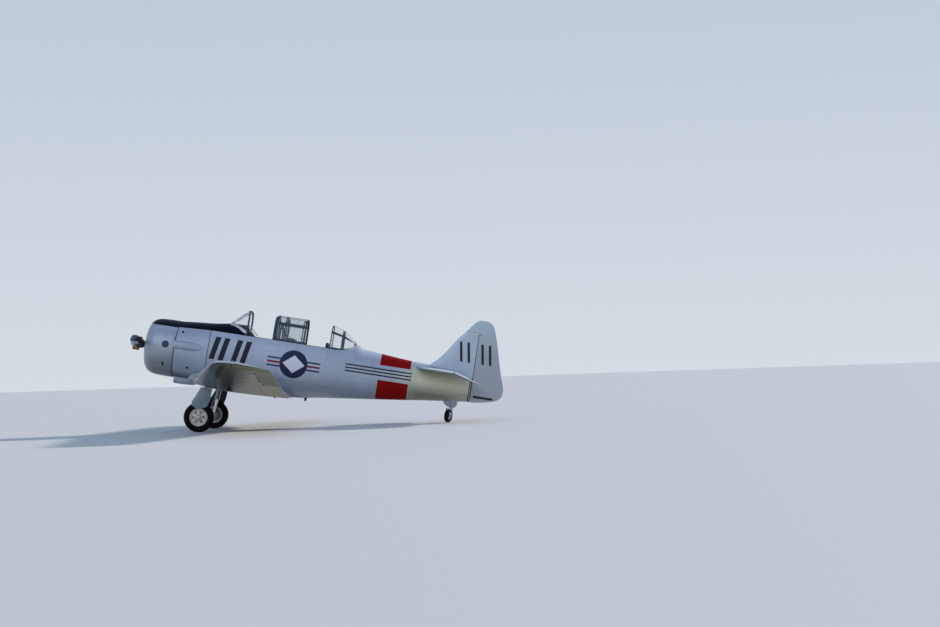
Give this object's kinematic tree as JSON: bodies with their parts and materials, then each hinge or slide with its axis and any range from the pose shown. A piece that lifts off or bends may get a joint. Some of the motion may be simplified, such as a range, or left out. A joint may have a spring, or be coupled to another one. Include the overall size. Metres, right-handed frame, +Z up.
{
  "type": "light aircraft",
  "caption": "Two-seat tandem low-wing training aircraft with a cowled radial engine, sliding canopies and a tail wheel, parked on its gear.",
  "frame": {"origin": "on the ground, under the middle of the aircraft's bounding box", "axes": "+X aft, so the nose points along -X; +Y to starboard, along the span; +Z up"},
  "size_m": [8.7308, 12.81, 2.7783],
  "materials": {
    "bare_metal_paint": "satin silver paint",
    "frame_paint": "satin grey-green paint",
    "dark_paint": "matte black paint",
    "steel": "bare steel",
    "cast_metal": "dark cast and finned metal",
    "blade_metal": "polished",
    "clear_panel": "clear with a faint green tint",
    "tyre_rubber": "worn matte",
    "seat_leather": "matte"
  },
  "bodies": {
    "airframe": {"cowl": "bare_metal_paint", "engine": "cast_metal", "exhaust_pipe": "steel", "nose_panels": "bare_metal_paint", "oil_cooler_scoop": "bare_metal_paint", "fuselage_centre": "bare_metal_paint", "seat_front": "seat_leather", "seat_rear": "seat_leather", "panel_front": "dark_paint", "panel_rear": "dark_paint", "wing_centre": "bare_metal_paint", "wing_left": "bare_metal_paint", "wing_right": "bare_metal_paint", "stabilizer_left": "bare_metal_paint", "stabilizer_right": "bare_metal_paint", "fuselage_aft": "bare_metal_paint", "fin": "bare_metal_paint", "windscreen_frame": "frame_paint", "windscreen_glass": "clear_panel", "canopy_centre_frame": "frame_paint", "canopy_centre_glass": "clear_panel", "canopy_aft_frame": "frame_paint", "canopy_aft_glass": "clear_panel", "gear_fairing_left": "bare_metal_paint", "gear_leg_left": "steel", "gear_fairing_right": "bare_metal_paint", "gear_leg_right": "steel", "tail_gear_housing": "bare_metal_paint"},
    "propeller": {"propeller": "blade_metal"},
    "wheel_left": {"tyre_left": "tyre_rubber", "rim_left": "steel"},
    "wheel_right": {"tyre_right": "tyre_rubber", "rim_right": "steel"},
    "tail_fork": {"tail_fork": "steel"},
    "tail_wheel": {"tail_tyre": "tyre_rubber", "tail_rim": "steel"},
    "rudder": {"rudder": "bare_metal_paint"},
    "elevator": {"elevator": "bare_metal_paint"},
    "aileron_left": {"aileron_left": "bare_metal_paint"},
    "aileron_right": {"aileron_right": "bare_metal_paint"},
    "flap_centre": {"flap_centre": "bare_metal_paint"},
    "flap_left": {"flap_left": "bare_metal_paint"},
    "flap_right": {"flap_right": "bare_metal_paint"},
    "canopy_front": {"canopy_front_frame": "frame_paint", "canopy_front_glass": "clear_panel"},
    "canopy_rear": {"canopy_rear_frame": "frame_paint", "canopy_rear_glass": "clear_panel"}
  },
  "joints": [
    {"name": "propeller_spin", "type": "hinge", "parent": "airframe", "child": "propeller", "pos_m": [-4.13204, 0, 2.09277], "axis": [0.9828, 0, -0.1848], "continuous": true},
    {"name": "wheel_left_spin", "type": "hinge", "parent": "airframe", "child": "wheel_left", "pos_m": [-2.625, -1.31, 0.34007], "axis": [0, 1, 0], "continuous": true},
    {"name": "wheel_right_spin", "type": "hinge", "parent": "airframe", "child": "wheel_right", "pos_m": [-2.625, 1.31, 0.34007], "axis": [0, 1, 0], "continuous": true},
    {"name": "tail_swivel", "type": "hinge", "parent": "airframe", "child": "tail_fork", "pos_m": [3.12579, 0, 0.34943], "axis": [0.1848, 0, 0.9828], "continuous": true},
    {"name": "tail_wheel_spin", "type": "hinge", "parent": "tail_fork", "child": "tail_wheel", "pos_m": [3.05431, -0.0853, 0.1558], "axis": [0.9112, -0.3746, -0.1714], "continuous": true},
    {"name": "rudder_hinge", "type": "hinge", "parent": "airframe", "child": "rudder", "pos_m": [3.59748, 0, 0.63925], "axis": [0.1848, 0, 0.9828], "range_deg": [-35, 35]},
    {"name": "elevator_hinge", "type": "hinge", "parent": "airframe", "child": "elevator", "pos_m": [3.2347, 0, 1.14501], "axis": [0, 1, 0], "range_deg": [-46, 4]},
    {"name": "aileron_left_hinge", "type": "hinge", "parent": "airframe", "child": "aileron_left", "pos_m": [-0.88873, -3.56, 1.07792], "axis": [-0.0223, 0.9927, -0.1188], "range_deg": [-30, 15]},
    {"name": "aileron_right_hinge", "type": "hinge", "parent": "airframe", "child": "aileron_right", "pos_m": [-0.88873, 3.56, 1.07792], "axis": [0.0223, 0.9927, 0.1188], "range_deg": [-30, 15]},
    {"name": "flap_centre_hinge", "type": "hinge", "parent": "airframe", "child": "flap_centre", "pos_m": [-1.08824, 0, 0.77453], "axis": [0, 1, 0], "range_deg": [0, 45]},
    {"name": "flap_left_hinge", "type": "hinge", "parent": "airframe", "child": "flap_left", "pos_m": [-1.08697, -1.47, 0.78126], "axis": [-0.0238, 0.9917, -0.1267], "range_deg": [0, 45]},
    {"name": "flap_right_hinge", "type": "hinge", "parent": "airframe", "child": "flap_right", "pos_m": [-1.08697, 1.47, 0.78126], "axis": [0.0238, 0.9917, 0.1267], "range_deg": [0, 45]},
    {"name": "canopy_front_slide", "type": "slide", "parent": "airframe", "child": "canopy_front", "axis": [0.9828, 0, -0.1848], "range_m": [-0.624, 0]},
    {"name": "canopy_rear_slide", "type": "slide", "parent": "airframe", "child": "canopy_rear", "axis": [0.9828, 0, -0.1848], "range_m": [0, 0.644]}
  ],
  "couplings": [
    {"joint": "flap_left_hinge", "follows": "flap_centre_hinge", "ratio": 1},
    {"joint": "flap_right_hinge", "follows": "flap_centre_hinge", "ratio": 1}
  ]
}
